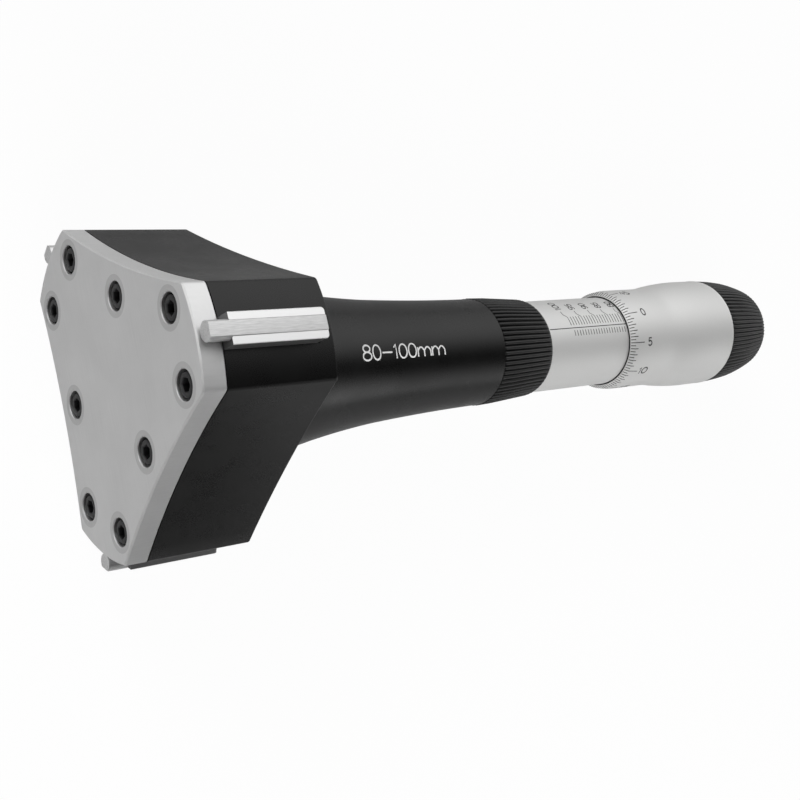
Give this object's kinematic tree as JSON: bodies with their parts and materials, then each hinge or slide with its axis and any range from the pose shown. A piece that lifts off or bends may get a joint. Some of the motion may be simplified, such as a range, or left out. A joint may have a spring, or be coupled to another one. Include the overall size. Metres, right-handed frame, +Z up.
{
  "type": "three-point micrometer",
  "caption": "Three-point internal micrometer with a cone-driven three-cornered head, black handle, graduated sleeve and thimble, and ratchet knob.",
  "frame": {"origin": "on the bench, under the middle of the whole instrument's box", "axes": "+X along the instrument towards the ratchet knob, +Y across it, +Z up; the instrument lies on the rear edge of its head and on its knob, so its own axis dips by 4.09 degrees towards +X"},
  "size_m": [0.2078, 0.0716, 0.0677],
  "materials": {
    "ground_steel": "fine ground, satin",
    "black_anodised": "black anodised, satin",
    "black_oxide": "black oxide",
    "hardened_steel": "hardened and ground",
    "carbide": "ground carbide",
    "spring_steel": "drawn wire",
    "bronze": "turned bronze",
    "satin_chrome": "satin chrome",
    "black_polymer": "matte"
  },
  "bodies": {
    "frame": {"head_body": "black_anodised", "front_plate": "ground_steel", "plate_screws": "black_oxide", "handle_body": "black_anodised", "guide_bush": "bronze", "coupling_collar": "black_anodised", "barrel": "hardened_steel", "graduated_sleeve": "satin_chrome", "spindle_nut": "bronze", "adjusting_nut": "hardened_steel", "anvil_spring_a": "spring_steel", "anvil_spring_b": "spring_steel", "anvil_spring_c": "spring_steel"},
    "cone": {"cone": "hardened_steel", "thrust_ball": "hardened_steel"},
    "anvil_a": {"anvil_block_a": "hardened_steel", "contact_bar_a": "carbide"},
    "anvil_b": {"anvil_block_b": "hardened_steel", "contact_bar_b": "carbide"},
    "anvil_c": {"anvil_block_c": "hardened_steel", "contact_bar_c": "carbide"},
    "spindle": {"spindle": "hardened_steel", "thimble": "satin_chrome", "wiper_ring": "black_polymer", "thimble_nut": "hardened_steel", "ratchet_hub": "hardened_steel", "retaining_screw": "black_oxide"},
    "knob": {"ratchet_knob": "black_anodised", "knob_cap": "black_anodised", "ratchet_spring": "spring_steel"},
    "ratchet_ring": {"ratchet_ring": "hardened_steel"}
  },
  "joints": [
    {"name": "cone_feed", "type": "slide", "parent": "frame", "child": "cone", "axis": [-0.9973, 0, 0.0728], "range_m": [0, 0.02048]},
    {"name": "thimble_turn", "type": "hinge", "parent": "cone", "child": "spindle", "pos_m": [-0.00226, 0, 0.02083], "axis": [-0.9973, 0, 0.0728], "range_deg": [0, 14749.3]},
    {"name": "anvil_a_slide", "type": "slide", "parent": "frame", "child": "anvil_a", "axis": [0.0728, 0, 0.9973], "range_m": [0, 0.01024], "stiffness_N_per_m": 300, "springref_m": -0.004, "deforming": ["anvil_spring_a"]},
    {"name": "anvil_b_slide", "type": "slide", "parent": "frame", "child": "anvil_b", "axis": [-0.0364, -0.866, -0.4987], "range_m": [0, 0.01024], "stiffness_N_per_m": 300, "springref_m": -0.004, "deforming": ["anvil_spring_b"]},
    {"name": "anvil_c_slide", "type": "slide", "parent": "frame", "child": "anvil_c", "axis": [-0.0364, 0.866, -0.4987], "range_m": [0, 0.01024], "stiffness_N_per_m": 300, "springref_m": -0.004, "deforming": ["anvil_spring_c"]},
    {"name": "ratchet_slip", "type": "hinge", "parent": "spindle", "child": "knob", "pos_m": [0.09747, 0, 0.01355], "axis": [-0.9973, 0, 0.0728], "continuous": true},
    {"name": "ratchet_lift", "type": "slide", "parent": "knob", "child": "ratchet_ring", "axis": [0.9973, 0, -0.0728], "range_m": [0, 0.0009], "stiffness_N_per_m": 800, "springref_m": -0.002, "deforming": ["ratchet_spring"]}
  ],
  "couplings": [
    {"joint": "thimble_turn", "follows": "cone_feed", "rad_per_m": 12566},
    {"joint": "anvil_a_slide", "follows": "cone_feed", "ratio": 0.5},
    {"joint": "anvil_b_slide", "follows": "cone_feed", "ratio": 0.5},
    {"joint": "anvil_c_slide", "follows": "cone_feed", "ratio": 0.5}
  ]
}
